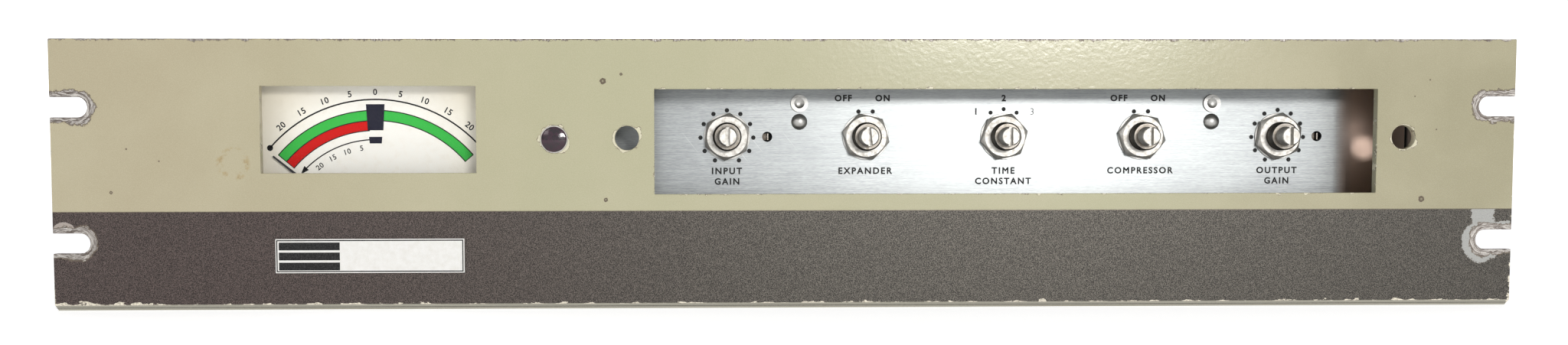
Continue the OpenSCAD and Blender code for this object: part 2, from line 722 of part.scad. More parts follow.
module capacitor_clamp() color(zinc) difference() {
    union() {
        rod_z(cap_r + 1, floor_z, floor_z + 14, cap_at[0], cap_at[1]);
        block([cap_at[0] - cap_r - 12, cap_at[1] - 6, floor_z],
            [cap_at[0] + cap_r + 12, cap_at[1] + 6, floor_z + 1.5]);
    }
    rod_z(cap_r, floor_z + 0.5, floor_z + 20, cap_at[0], cap_at[1]);
    for (sx = [-1, 1])
        rod_z(screw_hole_r, floor_z - 1, floor_z + 6, cap_at[0] + sx * (cap_r + 7), cap_at[1]);
}

// ---- Rear wall fittings ----

pole_x = [for (i = [0 : strip_poles - 1]) spread(strip_x[0] + 6, strip_x[1] - 6, strip_poles, i)];

module terminal_strip() color(phenolic) difference() {
    union() {
        block([strip_x[0] - 6, rear_y, strip_z[0]], [strip_x[1] + 6, rear_y + 4, strip_z[1]]);
        for (i = [0:strip_poles]) {
            x = strip_x[0] + 6 + (strip_x[1] - strip_x[0] - 12) * i / strip_poles;
            block([x - 0.9, rear_y, strip_z[0]], [x + 0.9, rear_y + 12, strip_z[1]]);
        }
    }
    for (x = strip_x) rod_y(screw_hole_r, rear_y - 1, rear_y + 5, x, sum2(strip_z) / 2);
}

module terminal_screws() color(nickel) for (x = pole_x) {
    block([x - 4.4, rear_y + 4, strip_z[0] + 2], [x + 4.4, rear_y + 4.8, strip_z[1] - 2]);
    for (z = [strip_z[0] + 6, strip_z[1] - 6])
        translate([x, rear_y + 4.8, z]) rotate([0, 0, 180]) difference() {
            screw(0.1, 1.75);
            rod_y(2, 0, 1);
        }
}

// Barrel and its nut on the inside of the rear wall
module fuse_holder() color(phenolic) translate([fuse_at[0], 0, fuse_at[1]]) {
    difference() {
        union() {
            rod_y(fuse_hole_r, rear_y - 32, rear_y);
            rod_y(8.5, rear_y, rear_y + 3);
        }
        rod_y(4.6, rear_y - 30, rear_y + 4);
    }
    difference() {
        rod_y(9, rear_y - sheet - 3, rear_y - sheet, 0, 0, 6);
        rod_y(fuse_hole_r + fit, rear_y - 10, rear_y);
    }
}

module fuse_link() color("white") translate([fuse_at[0], 0, fuse_at[1]]) {
    rod_y(2.5, rear_y - 22, rear_y - 8);
    rod_y(3.1, rear_y - 27.5, rear_y - 22);
    rod_y(3.1, rear_y - 8, rear_y - 2.5);
}

module fuse_cap() color(phenolic) translate([fuse_at[0], 0, fuse_at[1]]) difference() {
    union() {
        rod_y(7, rear_y + 3 + gap, rear_y + 13);
        rod_y(4.5, rear_y - 7, rear_y + 3 + gap);
        for (k = [0:11]) rotate([0, k * 30, 0]) rod_y(0.7, rear_y + 4.5, rear_y + 13, 7, 0);
    }
    rod_y(3.1, rear_y - 8, rear_y - 2.5);
    translate([0, rear_y + 13, 0]) cube([9, 3, 1.4], center = true);
}

// Gland with its lock nut, where the mains lead comes in
module cord_gland() color(phenolic) translate([gland_at[0], 0, gland_at[1]]) {
    difference() {
        union() {
            rod_y(gland_hole_r, rear_y - sheet - 6, rear_y);
            rod_y(gland_hole_r + 2.2, rear_y, rear_y + 6);
        }
        rod_y(gland_bore_r, rear_y - 20, rear_y + 10);
    }
    difference() {
        rod_y(gland_hole_r + 2.4, rear_y - sheet - 2.5, rear_y - sheet, 0, 0, 6);
        rod_y(gland_hole_r + fit, rear_y - 10, rear_y);
    }
}

front_panel();
panel_studs();
panel_nuts();
name_badge();
meter_case();
meter_lens();
meter_dial();
dial_screws();
meter_magnet();
meter_core();
meter_bridges();
meter_coil();
meter_needle();
pilot_jewel();
pilot_holder();
pilot_bulb();
control_plate();
plate_rivets();
plate_eyelets();
tag_strips();
tag_lugs();
control_bushings();
control_washers();
control_nuts();
control_lugs();
input_body();
input_shaft();
input_wiper();
two_way_bodies();
expansion_shaft();
attack_body();
attack_shaft();
compression_shaft();
output_body();
output_shaft();
output_wiper();
chassis_tray();
side_plates();
rear_plate();
corner_brackets();
top_cover();
case_screws();
circuit_board();
board_standoffs();
resistors();
electrolytics();
film_capacitors();
transistors();
power_core();
power_coil();
input_transformer();
output_transformer();
filter_capacitor();
capacitor_clamp();
terminal_strip();
terminal_screws();
fuse_holder();
fuse_link();
fuse_cap();
cord_gland();
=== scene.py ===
"""Looks of the rack compressor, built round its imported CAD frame.

Metres, with +X right, +Z up and the panel's face looking along -Y, as in the frame. Sizes that are
easier to read in millimetres are multiplied by MM.
"""

import json
import math

import bmesh
import bpy
from mathutils import Matrix, Vector


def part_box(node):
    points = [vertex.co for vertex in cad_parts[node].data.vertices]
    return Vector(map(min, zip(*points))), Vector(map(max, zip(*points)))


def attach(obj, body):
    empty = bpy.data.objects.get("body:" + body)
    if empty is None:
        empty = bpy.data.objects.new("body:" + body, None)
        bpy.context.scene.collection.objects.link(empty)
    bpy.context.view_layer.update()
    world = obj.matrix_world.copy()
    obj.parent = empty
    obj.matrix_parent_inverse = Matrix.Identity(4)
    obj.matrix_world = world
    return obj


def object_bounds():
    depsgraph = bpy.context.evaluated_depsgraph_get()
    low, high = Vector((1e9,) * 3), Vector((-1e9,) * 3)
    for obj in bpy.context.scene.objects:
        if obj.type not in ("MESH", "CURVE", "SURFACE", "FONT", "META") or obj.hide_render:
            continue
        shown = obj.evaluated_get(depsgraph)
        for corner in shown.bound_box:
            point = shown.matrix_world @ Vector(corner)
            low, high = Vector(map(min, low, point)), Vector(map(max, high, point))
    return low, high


MM = 0.001

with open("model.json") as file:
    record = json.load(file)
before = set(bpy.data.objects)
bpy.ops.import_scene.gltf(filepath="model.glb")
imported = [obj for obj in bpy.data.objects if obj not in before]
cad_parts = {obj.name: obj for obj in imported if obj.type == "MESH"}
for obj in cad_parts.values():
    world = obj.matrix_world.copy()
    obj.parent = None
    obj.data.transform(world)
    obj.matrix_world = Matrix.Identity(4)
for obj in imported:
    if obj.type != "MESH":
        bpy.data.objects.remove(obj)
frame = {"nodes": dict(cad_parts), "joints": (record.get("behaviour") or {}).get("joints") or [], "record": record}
cad_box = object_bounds()
nodes = frame["nodes"]
record = frame["record"]

# ---- Places, worked out from the frame ----

PANEL_LOW, PANEL_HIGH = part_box("front_panel")
PLATE_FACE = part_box("control_plate")[0].y
DIAL_LOW, DIAL_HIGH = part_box("meter_dial")
BADGE_LOW, BADGE_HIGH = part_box("name_badge")
JOINTS = {j["name"]: j for j in frame["joints"]}
PIVOT = Vector(JOINTS["pointer_swing"]["pos_m"])
CONTROLS = [
    Vector(JOINTS[name + "_turn"]["pos_m"])
    for name in ("input", "expansion", "attack", "compression", "output")
]
MOUNTS = {m["name"]: m for m in record["mounts"]}
SLOT_X = MOUNTS["rack_slots"]["dims"]["spacing_x_mm"] / 2
SLOT_Z = MOUNTS["rack_slots"]["dims"]["spacing_y_mm"] / 2
SLOT_R = MOUNTS["rack_slots"]["dims"]["hole_r_mm"]
OPENINGS = {o["name"]: o["box_m"] for o in record["physics"]["openings"]}

INK = 0.02 * MM
INK_LIFT = 0.01 * MM


# ---- A short way to write node materials ----


class Graph:
    """A material's node tree, with helpers that each add a node and return its output."""

    def __init__(self, name):
        self.material = bpy.data.materials.new(name)
        self.material.use_nodes = True
        self.tree = self.material.node_tree
        self.tree.nodes.clear()
        self.out = self.tree.nodes.new("ShaderNodeOutputMaterial")
        self.shader = self.tree.nodes.new("ShaderNodeBsdfPrincipled")
        self.tree.links.new(self.shader.outputs[0], self.out.inputs[0])
        self._place = None

    def put(self, socket, value):
        """Links an output to a socket, or sets the socket to a plain value."""
        if isinstance(value, bpy.types.NodeSocket):
            self.tree.links.new(value, socket)
        else:
            socket.default_value = value

    def set(self, **values):
        """Sets inputs of the principled shader: base_color becomes Base Color."""
        names = {"ior": "IOR", "specular_ior_level": "Specular IOR Level"}
        for key, value in values.items():
            self.put(self.shader.inputs[names.get(key, key.replace("_", " ").title())], value)

    def node(self, kind, inputs=(), output=0, **settings):
        made = self.tree.nodes.new("ShaderNode" + kind)
        for key, value in settings.items():
            setattr(made, key, value)
        for key, value in dict(inputs).items():
            self.put(made.inputs[key], value)
        return made.outputs[output]

    def math(self, operation, a, b=0.0):
        return self.node("Math", {0: a, 1: b}, operation=operation)

    def plus(self, a, b):
        return self.math("ADD", a, b)

    def minus(self, a, b):
        return self.math("SUBTRACT", a, b)

    def times(self, a, b):
        return self.math("MULTIPLY", a, b)

    def size(self, a):
        return self.math("ABSOLUTE", a)

    def highest(self, first, *others):
        for other in others:
            first = self.math("MAXIMUM", first, other)
        return first

    def lowest(self, first, *others):
        for other in others:
            first = self.math("MINIMUM", first, other)
        return first

    def place(self):
        """The point being shaded, in millimetres in the CAD frame at rest, as x, y, z."""
        if self._place is None:
            point = self.node("TexCoord", output="Object")
            split = self.tree.nodes.new("ShaderNodeSeparateXYZ")
            self.tree.links.new(point, split.inputs[0])
            self._place = [self.times(split.outputs[i], 1 / MM) for i in range(3)]
        return self._place

    def point(self, x=1.0, y=1.0, z=1.0):
        """The point in millimetres, stretched by a factor along each axis."""
        axes = [self.times(p, s) for p, s in zip(self.place(), (x, y, z))]
        return self.node("CombineXYZ", dict(enumerate(axes)))

    def noise(self, scale, detail=3.0, rough=0.5, vector=None, distortion=0.0):
        """Noise from 0 to 1 with features about 1 / scale millimetres across."""
        return self.node(
            "TexNoise",
            {
                "Vector": vector or self.point(),
                "Scale": scale,
                "Detail": detail,
                "Roughness": rough,
                "Distortion": distortion,
            },
        )

    def cells(self, scale):
        """Distance from the middle of cells about 1 / scale millimetres across."""
        return self.node("TexVoronoi", {"Vector": self.point(), "Scale": scale})

    def ramp(self, value, low, high, to_low=0.0, to_high=1.0):
        """Smooth step of value from low to high."""
        return self.node(
            "MapRange",
            {"Value": value, "From Min": low, "From Max": high, "To Min": to_low, "To Max": to_high},
            interpolation_type="SMOOTHSTEP",
        )

    def mix(self, factor, a, b):
        """Colours a and b mixed by factor."""
        made = self.tree.nodes.new("ShaderNodeMix")
        made.data_type = "RGBA"
        self.put(made.inputs[0], factor)
        for socket, value in ((made.inputs[6], a), (made.inputs[7], b)):
            self.put(socket, value if isinstance(value, bpy.types.NodeSocket) else (*value, 1.0))
        return made.outputs[2]

    def blend(self, factor, a, b):
        """Numbers a and b mixed by factor."""
        made = self.tree.nodes.new("ShaderNodeMix")
        made.data_type = "FLOAT"
        self.put(made.inputs[0], factor)
        self.put(made.inputs[2], a)
        self.put(made.inputs[3], b)
        return made.outputs[0]

    def bump(self, height, strength, distance):
        return self.node("Bump", {"Height": height, "Strength": strength, "Distance": distance})

    # Distances on the panel's plane, in millimetres, positive outside the shape

    def from_box(self, x, z, low, high):
        middle = [(a + b) / 2 for a, b in zip(low, high)]
        half = [(b - a) / 2 for a, b in zip(low, high)]
        across = self.minus(self.size(self.minus(x, middle[0])), half[0])
        up = self.minus(self.size(self.minus(z, middle[1])), half[1])
        return self.highest(across, up)

    def length(self, a, b):
        return self.math("SQRT", self.plus(self.times(a, a), self.times(b, b)))

    def from_point(self, x, z, at, radius=0.0, squash=1.0):
        across = self.minus(x, at[0])
        up = self.times(self.minus(z, at[1]), squash)
        return self.minus(self.length(across, up), radius)


def srgb(r, g, b):
    """A linear colour from 0 to 255 display values."""
    return tuple(
        (c / 255 / 12.92) if c <= 10 else ((c / 255 + 0.055) / 1.055) ** 2.4 for c in (r, g, b)
    )


# ---- Materials ----

BAND_TOP = -12.0
BAND_BOTTOM = PANEL_LOW.z / MM + 2.0
WINDOW_MARGIN = 0.5
CORNER_SHADE_REACH = 0.0007
LAMP_HOLE_R = 4.55
COVER_HOLE_R = 4.0
STAIN_AT = (-182.6, 3.7)
STAIN_R = 4.4
COVERED_FROM = 189.0
SCORE_DEPTH = 1.1
# Chips in the paint, in millimetres: how far they reach from an edge, how much that wanders along the
# edge, and how ragged they are
CHIPS = {
    "hole": (0.35, 4.6, 0.9), "control_window": (-0.35, 5.5, 1.5), "meter_window": (-0.75, 3.5, 1.2),
    "end": (-0.3, 3.5, 2.5), "band_end": (0.2, 4.0, 2.5), "top": (0.35, 2.8, 1.9),
}
# Bare rings round the slots: how far they reach beside a slot and round its inner end, then as above
RING_REACH = (1.8, 2.4)
RING_RAGGED = (4.2, 1.6)
# Small dark marks in the putty paint: where, and how far across
SPECKS = [
    ((-222.2, -5.6), 0.55), ((-62.0, 30.6), 1.0), ((-56.0, 32.9), 0.5), ((-61.2, -8.3), 0.7),
    ((210.5, -8.6), 1.0), ((-217.0, 8.6), 0.35), ((-206.5, 4.6), 0.3), ((212.5, 31.0), 0.3),
    ((215.0, 14.5), 0.3), ((207.5, 25.5), 0.25),
]
# Colours in and under the panel's paint, as display values
PAINT = {
    "putty_left": (174, 164, 136), "putty_middle": (176, 173, 142), "putty_right_shaded": (158, 152, 124),
    "putty_faded": (188, 181, 154), "grain_light": (224, 216, 188), "grain_dark": (140, 132, 106),
    "stain": (164, 142, 92), "grit": (112, 84, 52), "speck": (84, 68, 54),
    "gun_left_dark": (29, 23, 21), "gun_left": (104, 90, 86),
    "gun_right_dark": (29, 27, 24), "gun_right": (106, 101, 93),
    "gun_flake": (188, 180, 174), "gun_patch": (52, 47, 43),
    # The strip colours are darker than the strip's cream paint: painted shade on the bevel under the band, which
    # faces down
    "seam": (88, 76, 66), "strip": (148, 145, 131), "strip_worn": (120, 116, 102), "score": (62, 56, 48),
    "under_putty": (214, 208, 182), "under_gun": (196, 190, 176),
    "chip_line": (92, 80, 62), "chip_line_pale": (150, 142, 120),
    "metal_dark": (88, 78, 72), "metal_bright": (198, 193, 187), "metal_dull": (120, 112, 102),
    "primer_dark": (152, 152, 149), "primer": (172, 172, 168),
    "chalk_dark": (166, 158, 142), "chalk": (228, 220, 202), "rubbed": (168, 158, 150),
    "outline": (96, 84, 70),
}


class PanelPaint:
    """Putty paint over a gunmetal band, chipped to bare metal round the holes and edges."""

    def __init__(self):
        g = self.g = Graph("panel_paint")
        self.x, _, self.z = g.place()
        self.side = g.size(self.x)
        self.end_edge = g.minus(PANEL_HIGH.x / MM, self.side)
        self.fine = g.noise(1.5, 5.0, 0.65)
        self.grain = g.noise(3.5, 2.0, 0.6)
        self.flecks = g.noise(3.2, 3.0, 0.8)
        self.wander = g.minus(g.noise(0.25, 3.0, 0.55), 0.5)
        self.jitter = g.minus(self.fine, 0.5)
        self.tone = {name: srgb(*value) for name, value in PAINT.items()}

    # A chip's depth says how far inside it a point is, in millimetres, and is negative outside

    def chip(self, distance, reach, wide, rough):
        """A chip along an edge that is this far away: its limit wanders along the edge."""
        g = self.g
        limit = g.plus(reach, g.times(self.wander, wide))
        limit = g.plus(limit, g.times(self.jitter, rough))
        return g.minus(limit, distance)

    def inside(self, depth, soft=0.06):
        return self.g.ramp(depth, -soft, soft)

    def rim(self, depth, width=0.16):
        return self.g.ramp(self.g.size(depth), width * 0.4, width, 1.0, 0.0)

    def window(self, name):
        """Distance outside one of the panel's windows."""
        low, high = OPENINGS[name]
        return self.g.from_box(
            self.x, self.z,
            [c / MM - WINDOW_MARGIN for c in (low[0], low[2])],
            [c / MM + WINDOW_MARGIN for c in (high[0], high[2])],
        )

    def shells(self):
        """Thin shells of paint lost round the holes, the windows and the panel's ends."""
        g = self.g
        lamp_low, lamp_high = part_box("pilot_jewel")
        lamp = ((lamp_low.x + lamp_high.x) / 2 / MM, (lamp_low.z + lamp_high.z) / 2 / MM)
        holes = [g.from_point(self.x, self.z, lamp, LAMP_HOLE_R)]
        for name in ("cover_hole_left", "cover_hole_right"):
            at = MOUNTS[name]["pos_m"]
            holes.append(g.from_point(self.x, self.z, (at[0] / MM, at[2] / MM), COVER_HOLE_R))
        depths = [self.chip(hole, *CHIPS["hole"]) for hole in holes]
        for name in ("control_window", "meter_window"):
            depths.append(self.chip(self.window(name), *CHIPS[name]))
        depths.append(self.chip(self.end_edge, *CHIPS["end"]))
        return g.highest(*depths)

    def rings(self):
        """Bare metal round the slots, and the streaks that the rack screws scratched in it."""
        g = self.g
        # One formula serves all four slots, as the distance from the notch in any quarter
        across = g.highest(g.minus(SLOT_X, self.side), 0.0)
        up = g.minus(g.size(self.z), SLOT_Z)
        notch = g.minus(g.length(across, up), SLOT_R)
        inner = g.ramp(self.side, SLOT_X + 6.5, SLOT_X - 1.0)
        ring = self.chip(notch, g.blend(inner, *RING_REACH), *RING_RAGGED)
        round_and_round = g.node("CombineXYZ", {
            0: g.plus(g.times(notch, 2.2), g.times(self.wander, 5.0)),
            1: g.plus(g.times(self.x, 0.22), g.times(self.z, 0.14)),
            2: 0.0,
        })
        return ring, g.noise(1.0, 3.0, 0.75, round_and_round, 0.6)

    def flakes(self):
        """The big flake at the lower right slot, down to primer, and the rubbed marks at the lower left."""
        g, x, z = self.g, self.x, self.z
        broken = g.plus(g.times(self.wander, 3.5), g.times(self.jitter, 2.2))
        shape = g.lowest(
            g.from_point(x, z, (SLOT_X - 0.9, -SLOT_Z - 0.6), 7.0),
            g.from_box(x, z, (SLOT_X - 4.6, -SLOT_Z), (SLOT_X + 3.0, BAND_TOP + 4.0)),
            g.from_box(x, z, (SLOT_X, -SLOT_Z + 3.0), (SLOT_X + 8.2, -SLOT_Z + 6.1)),
        )
        flake = g.lowest(g.minus(broken, shape), g.minus(BAND_TOP, z))

        blob = g.from_point(x, z, (-SLOT_X - 5.1, -SLOT_Z + 4.7), 3.6, 1.7)
        blob = g.highest(blob, g.minus(-SLOT_Z + 4.6, z))
        blob = g.minus(g.times(broken, 0.35), blob)
        arc = g.from_point(x, z, (-SLOT_X - 2.2, -SLOT_Z + 0.6), 5.3)
        arc = g.minus(0.75, g.size(g.minus(arc, g.times(broken, 0.3))))
        arc = g.lowest(arc, g.minus(-SLOT_Z - 3.5, z), g.minus(0.6 - SLOT_X, x))
        rubbed = g.highest(self.inside(blob), g.times(self.inside(arc, 0.25), 0.5))
        left_half = g.ramp(x, -1.0, 1.0, 1.0, 0.0)
        lower_half = g.ramp(z, BAND_TOP - 1.0, BAND_TOP, 1.0, 0.0)
        return flake, g.times(left_half, g.times(lower_half, rubbed))

    def low_chips(self):
        """White chips on the band's lower edge, long and dense at the left, and on its right end."""
        g, x, z = self.g, self.x, self.z
        above = g.minus(z, BAND_BOTTOM)
        along = g.noise(1.0, 3.0, 0.6, g.point(0.22, 1.0, 0.5))
        left_end = g.ramp(x, -222.0, -196.0, 1.0, 0.0)
        reach = g.plus(g.times(g.minus(along, 0.53), 5.0), g.times(left_end, 0.55))
        low_chip = g.lowest(g.minus(reach, above), g.plus(above, 0.15))
        right_end = g.times(g.ramp(x, 236.0, 238.0), g.ramp(z, -29.0, -31.0))
        right_chip = g.lowest(self.chip(self.end_edge, *CHIPS["band_end"]), g.minus(right_end, 0.5))
        return g.highest(low_chip, right_chip)

    def putty(self):
        """Putty coat, yellowed unevenly: warmer at the left, stained and specked, and darker and more olive
        towards the right end, partly its own tone and partly painted shade.
        """
        g, x, z, tone = self.g, self.x, self.z, self.tone
        middle = g.times(g.ramp(x, -215.0, -60.0), g.ramp(x, 110.0, 225.0, 1.0, 0.35))
        putty = g.mix(middle, tone["putty_left"], tone["putty_middle"])
        # Painted shade: the putty darkens towards the panel's right end
        putty = g.mix(g.ramp(x, 100.0, 225.0), putty, tone["putty_right_shaded"])
        age = g.noise(0.02, 4.0, 0.6)
        putty = g.mix(g.ramp(age, 0.35, 0.7, 0.0, 0.35), putty, tone["putty_faded"])
        putty = g.mix(g.ramp(self.grain, 0.45, 0.75, 0.0, 0.14), putty, tone["grain_light"])
        putty = g.mix(g.ramp(self.grain, 0.3, 0.5, 0.12, 0.0), putty, tone["grain_dark"])
        # A stain left by something round, stronger in places
        stain = g.ramp(g.size(g.from_point(x, z, STAIN_AT, STAIN_R)), 0.2, 1.6, 1.0, 0.0)
        stain = g.times(stain, g.ramp(g.noise(0.33, 4.0, 0.65), 0.47, 0.62))
        putty = g.mix(g.times(stain, 0.62), putty, tone["stain"])
        putty = g.mix(g.times(stain, g.ramp(self.fine, 0.56, 0.66, 0.0, 0.7)), putty, tone["grit"])
        specks = []
        for at, radius in SPECKS:
            depth = g.minus(g.times(self.fine, radius), g.from_point(x, z, at, radius * 0.5))
            centre = g.ramp(depth, radius * 0.5, radius * 0.9, 1.0, 0.35)
            specks.append(g.times(g.ramp(depth, -0.05, 0.1), centre))
        return g.mix(g.times(g.highest(*specks), 0.9), putty, tone["speck"])

    def gunmetal(self):
        """Gunmetal coat: dark paint full of fine bright flakes, browner at the left."""
        g, tone = self.g, self.tone
        bright = g.ramp(self.flecks, 0.42, 0.6)
        left = g.mix(bright, tone["gun_left_dark"], tone["gun_left"])
        right = g.mix(bright, tone["gun_right_dark"], tone["gun_right"])
        gun = g.mix(g.ramp(self.x, -190.0, 20.0), left, right)
        gun = g.mix(g.ramp(g.cells(2.4), 0.06, 0.14, 0.75, 0.0), gun, tone["gun_flake"])
        return g.mix(g.ramp(g.noise(0.9, 3.0, 0.6), 0.4, 0.7, 0.0, 0.35), gun, tone["gun_patch"])

    def sound_coats(self, band_top, in_band):
        """The paint where nothing is lost, with the seam over the band and the scored strip under it."""
        g, z, tone = self.g, self.z, self.tone
        colour = g.mix(in_band, self.putty(), self.gunmetal())
        seam = g.ramp(g.size(g.minus(z, band_top)), 0.05, 0.3, 0.55, 0.0)
        colour = g.mix(seam, colour, tone["seam"])
        # Painted shade: the down-facing strip under the band is coloured darker than its cream paint
        strip = g.mix(g.ramp(self.grain, 0.3, 0.7, 0.0, 0.35), tone["strip"], tone["strip_worn"])
        score = g.size(g.minus(g.minus(BAND_BOTTOM, z), SCORE_DEPTH))
        score = g.ramp(g.plus(score, g.times(self.jitter, 0.3)), 0.1, 0.25, 0.75, 0.0)
        strip = g.mix(score, strip, tone["score"])
        return g.mix(g.ramp(z, BAND_BOTTOM - 0.06, BAND_BOTTOM + 0.06, 1.0, 0.0), colour, strip)

    def build(self):
        g, z, tone = self.g, self.z, self.tone
        shell, (ring, swirl), (flake, rubbed) = self.shells(), self.rings(), self.flakes()
        top_bare = self.chip(g.minus(PANEL_HIGH.z / MM, z), *CHIPS["top"])
        low_white = self.inside(self.low_chips())
        band_top = g.plus(BAND_TOP, g.times(self.jitter, 0.25))
        below_top = g.ramp(g.minus(band_top, z), -0.07, 0.07)
        in_band = g.times(below_top, g.ramp(g.minus(z, BAND_BOTTOM), -0.06, 0.06))
        colour = self.sound_coats(band_top, in_band)

        under = g.mix(in_band, tone["under_putty"], tone["under_gun"])
        colour = g.mix(g.times(self.inside(shell), 0.8), colour, under)
        line = g.mix(g.ramp(self.fine, 0.4, 0.6), tone["chip_line"], tone["chip_line_pale"])
        colour = g.mix(g.times(self.rim(shell), 0.85), colour, line)
        chalk = g.mix(g.ramp(self.fine, 0.35, 0.6), tone["chalk_dark"], tone["chalk"])
        colour = g.mix(g.times(low_white, below_top), colour, chalk)
        colour = g.mix(g.times(rubbed, 0.9), colour, tone["rubbed"])
        primer = g.mix(g.ramp(self.grain, 0.3, 0.7), tone["primer_dark"], tone["primer"])
        colour = g.mix(self.inside(flake), colour, primer)
        bare = g.highest(self.inside(ring), self.inside(top_bare))
        steel = g.mix(g.ramp(swirl, 0.40, 0.64), tone["metal_dark"], tone["metal_bright"])
        steel = g.mix(g.ramp(self.fine, 0.52, 0.66, 0.0, 0.6), steel, tone["metal_dull"])
        colour = g.mix(bare, colour, steel)
        outline = g.highest(
            self.rim(ring, 0.3), g.times(self.rim(flake, 0.14), 0.6), self.rim(top_bare, 0.14)
        )
        colour = g.mix(g.times(outline, 0.8), colour, tone["outline"])

        gone = g.highest(bare, self.inside(flake), g.times(self.inside(shell), 0.5), low_white)
        height = g.plus(g.noise(0.75, 2.0, 0.5), g.times(g.times(self.flecks, in_band), 0.35))
        height = g.minus(height, g.times(gone, 1.5))
        height = g.plus(height, g.times(g.times(swirl, bare), 0.8))
        putty_gloss = g.ramp(self.grain, 0.3, 0.8, 0.14, 0.21)
        painted = g.blend(in_band, putty_gloss, g.ramp(self.flecks, 0.4, 0.7, 0.5, 0.34))
        band_metal = g.times(in_band, g.minus(0.5, g.times(gone, 0.5)))
        g.set(
            base_color=colour,
            roughness=g.blend(gone, painted, 0.46),
            metallic=g.highest(band_metal, g.times(bare, 0.5)),
            normal=g.bump(height, 0.3, 0.0001),
        )
        return g.material


def metal(name, colour, dark, rough=(0.25, 0.45), scale=0.8, stretch=(1, 1, 1), bump=0.15, dirt=0.35,
          corner_shade=0.0, reach=CORNER_SHADE_REACH):
    """Plated or bare metal with patchy tarnish, fine scratches and, where asked, painted shade in its corners and
    seams.
    """
    g = Graph(name)
    patches = g.noise(scale, 5.0, 0.65)
    scratches = g.noise(7.0, 3.0, 0.7, g.point(*stretch))
    tone = g.mix(g.ramp(patches, 0.4, 0.75, 0.0, dirt), colour, dark)
    tone = g.mix(g.ramp(scratches, 0.35, 0.7, 0.0, 0.22), tone, dark)
    if corner_shade:
        # Painted shade: darker where ambient occlusion finds surfaces close by, in corners and seams
        open_air = g.node("AmbientOcclusion", {"Distance": reach}, output=1, samples=8)
        corner_shading = g.ramp(g.plus(open_air, g.times(patches, 0.25)), 0.45, 0.98, corner_shade, 0.0)
        tone = g.mix(corner_shading, tone, srgb(46, 38, 30))
    g.set(
        base_color=tone,
        metallic=1.0,
        roughness=g.ramp(g.plus(patches, g.times(scratches, 0.4)), 0.45, 0.9, *rough),
        normal=g.bump(scratches, bump, 0.00005),
    )
    return g.material


def plain(name, colour, other, rough=(0.35, 0.55), bump=0.1, fine=4.0, **extra):
    """Moulded plastic, enamel, paper or laminate: two close colours, patchy gloss and a fine texture."""
    g = Graph(name)
    patches = g.noise(0.5, 4.0, 0.6)
    texture = g.noise(fine, 3.0, 0.6)
    g.set(
        base_color=g.mix(g.ramp(patches, 0.3, 0.75), colour, other),
        roughness=g.ramp(texture, 0.3, 0.7, *rough),
        normal=g.bump(texture, bump, 0.00008),
        **extra,
    )
    return g.material


def brushed_plate():
    """Aluminium brushed from side to side, with long fine lines, smudges and stray scratches."""
    g = Graph("brushed_plate")
    long_lines = g.noise(1.0, 2.0, 0.6, g.point(0.035, 1.0, 5.0))
    short_lines = g.noise(1.0, 2.0, 0.7, g.point(0.16, 1.0, 9.0))
    fine_lines = g.noise(1.0, 1.0, 0.5, g.point(0.6, 1.0, 16.0))
    lines = g.plus(g.times(long_lines, 0.25), g.times(short_lines, 0.4))
    lines = g.plus(lines, g.times(fine_lines, 0.35))
    smudge = g.noise(0.05, 4.0, 0.6)
    x, _, z = g.place()
    slanted = g.node("CombineXYZ", {0: g.plus(x, g.times(z, 0.8)), 1: 0.0, 2: g.times(z, 0.04)})
    stray = g.ramp(g.noise(0.9, 0.0, 0.0, slanted), 0.80, 0.83, 0.0, 0.5)
    tone = g.mix(g.ramp(lines, 0.35, 0.65), srgb(138, 141, 142), srgb(180, 183, 183))
    tone = g.mix(g.ramp(smudge, 0.4, 0.75, 0.0, 0.25), tone, srgb(130, 133, 135))
    tone = g.mix(stray, tone, srgb(206, 206, 206))
    # Painted reflection: a warm brown tint on the end that the panel covers, for the brown light that the panel's
    # shadowed inside throws on it
    tone = g.mix(g.ramp(x, COVERED_FROM, COVERED_FROM + 8.0), tone, srgb(222, 194, 178))
    g.set(
        base_color=tone,
        metallic=0.9,
        roughness=g.ramp(lines, 0.3, 0.7, 0.33, 0.43),
        anisotropic=0.6,
        # Reflections spread upwards, across the brushing
        tangent=g.node("CombineXYZ", {0: 0.0, 1: 0.0, 2: 1.0}),
        normal=g.bump(lines, 0.35, 0.00006),
    )
    return g.material


def dial_paint():
    """Ivory enamel, a little darker and yellower towards its edges, glowing faintly as painted light."""
    g = Graph("dial_paint")
    x, _, z = g.place()
    middle = ((DIAL_LOW.x + DIAL_HIGH.x) / 2 / MM, 8.0)
    outward = g.from_point(x, z, middle, 0.0, 1.4)
    tone = g.mix(g.ramp(outward, 18.0, 46.0), srgb(255, 253, 246), srgb(246, 238, 218))
    tone = g.mix(g.ramp(g.noise(0.35, 4.0, 0.6), 0.45, 0.8, 0.0, 0.18), tone, srgb(214, 204, 178))
    g.set(base_color=tone, roughness=0.5, normal=g.bump(g.noise(2.5), 0.06, 0.00005))
    # Painted light: the enamel glows faintly, though no lamp lights the dial
    g.set(emission_color=tone, emission_strength=0.1)
    return g.material


def jewel():
    """Dark plum glass that shows a little of its faceted inside."""
    g = Graph("jewel_glass")
    facets = g.cells(0.9)
    tone = g.mix(g.ramp(facets, 0.1, 0.9), srgb(18, 4, 14), srgb(50, 10, 34))
    g.set(
        base_color=tone,
        roughness=0.12,
        coat_weight=0.3,
        coat_roughness=0.1,
        ior=1.5,
        normal=g.bump(facets, 0.12, 0.0002),
    )
    return g.material


